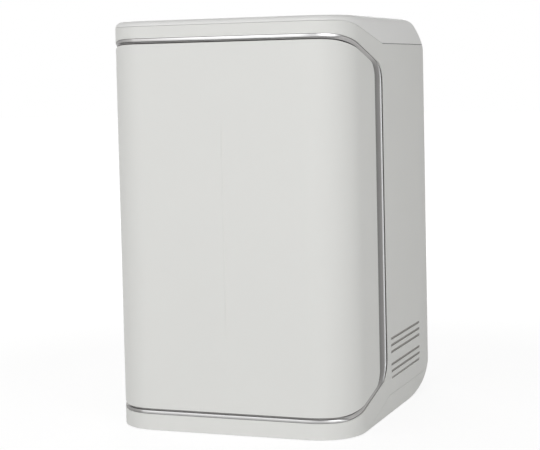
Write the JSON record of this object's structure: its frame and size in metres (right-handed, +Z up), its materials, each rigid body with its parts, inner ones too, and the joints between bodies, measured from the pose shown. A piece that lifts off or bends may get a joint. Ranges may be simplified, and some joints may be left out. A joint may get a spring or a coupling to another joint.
{
  "type": "ultrapure water system",
  "caption": "Bench-top ultrapure water unit: rounded white casing, wrap-round hinged front door in a silver trim ring, vented side, purification modules inside, service pocket at the rear.",
  "frame": {"origin": "middle of the unit's footprint, on the bench", "axes": "+Z up, the door faces -Y, +X to the right as seen from the front"},
  "size_m": [0.31, 0.3904, 0.498],
  "materials": {
    "white_shell": "satin white moulding",
    "silver_trim": "satin silver",
    "grey_plastic": "matt grey",
    "black_plastic": "matt black",
    "steel": "satin",
    "blue_plastic": "satin blue",
    "rubber_feet": "matt",
    "clear_tube": "smooth"
  },
  "bodies": {
    "root": {"body_shell": "white_shell", "top_cover": "white_shell", "base_pan": "white_shell", "trim_ring": "silver_trim", "hinge_bracket_lower": "steel", "hinge_pin_lower": "steel", "hinge_bracket_upper": "steel", "hinge_pin_upper": "steel", "catch_plate": "steel", "foot_1": "rubber_feet", "foot_2": "rubber_feet", "foot_3": "rubber_feet", "foot_4": "rubber_feet", "bay_tray": "grey_plastic", "cartridge_left": "blue_plastic", "dock_left": "white_shell", "lever_pin_left": "steel", "cartridge_right": "blue_plastic", "dock_right": "white_shell", "lever_pin_right": "steel", "chassis_deck_lower": "steel", "chassis_deck_upper": "steel", "power_supply": "steel", "booster_pump": "black_plastic", "recirculation_pump": "black_plastic", "fan_frame": "black_plastic", "ro_module": "white_shell", "ro_module_bracket": "grey_plastic", "uv_lamp": "steel", "uv_lamp_bracket": "grey_plastic", "valve_manifold": "grey_plastic", "conductivity_cell": "blue_plastic", "edi_module": "white_shell", "control_board": "blue_plastic", "rear_panel": "grey_plastic", "rear_screw_1": "steel", "rear_screw_2": "steel", "rear_screw_3": "steel", "rear_screw_4": "steel", "mains_inlet": "black_plastic", "switch_housing": "black_plastic", "data_connector": "black_plastic", "port_feed": "white_shell", "port_drain": "white_shell", "port_product": "white_shell", "permeate_tube": "clear_tube", "product_tube": "clear_tube", "feed_tube": "clear_tube"},
    "door": {"front_door": "white_shell", "door_liner": "grey_plastic", "door_magnet": "black_plastic", "door_hinge_leaf_lower": "steel", "door_hinge_leaf_upper": "steel"},
    "lever_left": {"release_lever_left": "grey_plastic"},
    "lever_right": {"release_lever_right": "grey_plastic"},
    "fan": {"fan_rotor": "black_plastic"},
    "rocker": {"power_switch": "black_plastic"},
    "collet_a": {"collet_feed": "blue_plastic"},
    "collet_b": {"collet_drain": "blue_plastic"},
    "collet_c": {"collet_product": "blue_plastic"}
  },
  "joints": [
    {"name": "door_hinge", "type": "hinge", "parent": "root", "child": "door", "pos_m": [-0.1516, -0.0695, 0.245], "axis": [0, 0, -1], "range_deg": [0, 110]},
    {"name": "lever_left_pivot", "type": "hinge", "parent": "root", "child": "lever_left", "pos_m": [-0.058, -0.14002, 0.3756], "axis": [-1, 0, 0], "range_deg": [0, 40]},
    {"name": "lever_right_pivot", "type": "hinge", "parent": "root", "child": "lever_right", "pos_m": [0.058, -0.14002, 0.3756], "axis": [-1, 0, 0], "range_deg": [0, 40]},
    {"name": "fan_spin", "type": "hinge", "parent": "root", "child": "fan", "pos_m": [0.1267, 0.044, 0.0689], "axis": [1, 0, 0], "continuous": true},
    {"name": "power_switch_rock", "type": "hinge", "parent": "root", "child": "rocker", "pos_m": [-0.02, 0.1727, 0.097], "axis": [1, 0, 0], "range_deg": [-6, 6]},
    {"name": "collet_feed_press", "type": "slide", "parent": "root", "child": "collet_a", "axis": [0, -1, 0], "range_m": [0, 0.0015], "stiffness_N_per_m": 400},
    {"name": "collet_drain_press", "type": "slide", "parent": "root", "child": "collet_b", "axis": [0, -1, 0], "range_m": [0, 0.0015], "stiffness_N_per_m": 400},
    {"name": "collet_product_press", "type": "slide", "parent": "root", "child": "collet_c", "axis": [0, -1, 0], "range_m": [0, 0.0015], "stiffness_N_per_m": 400}
  ]
}
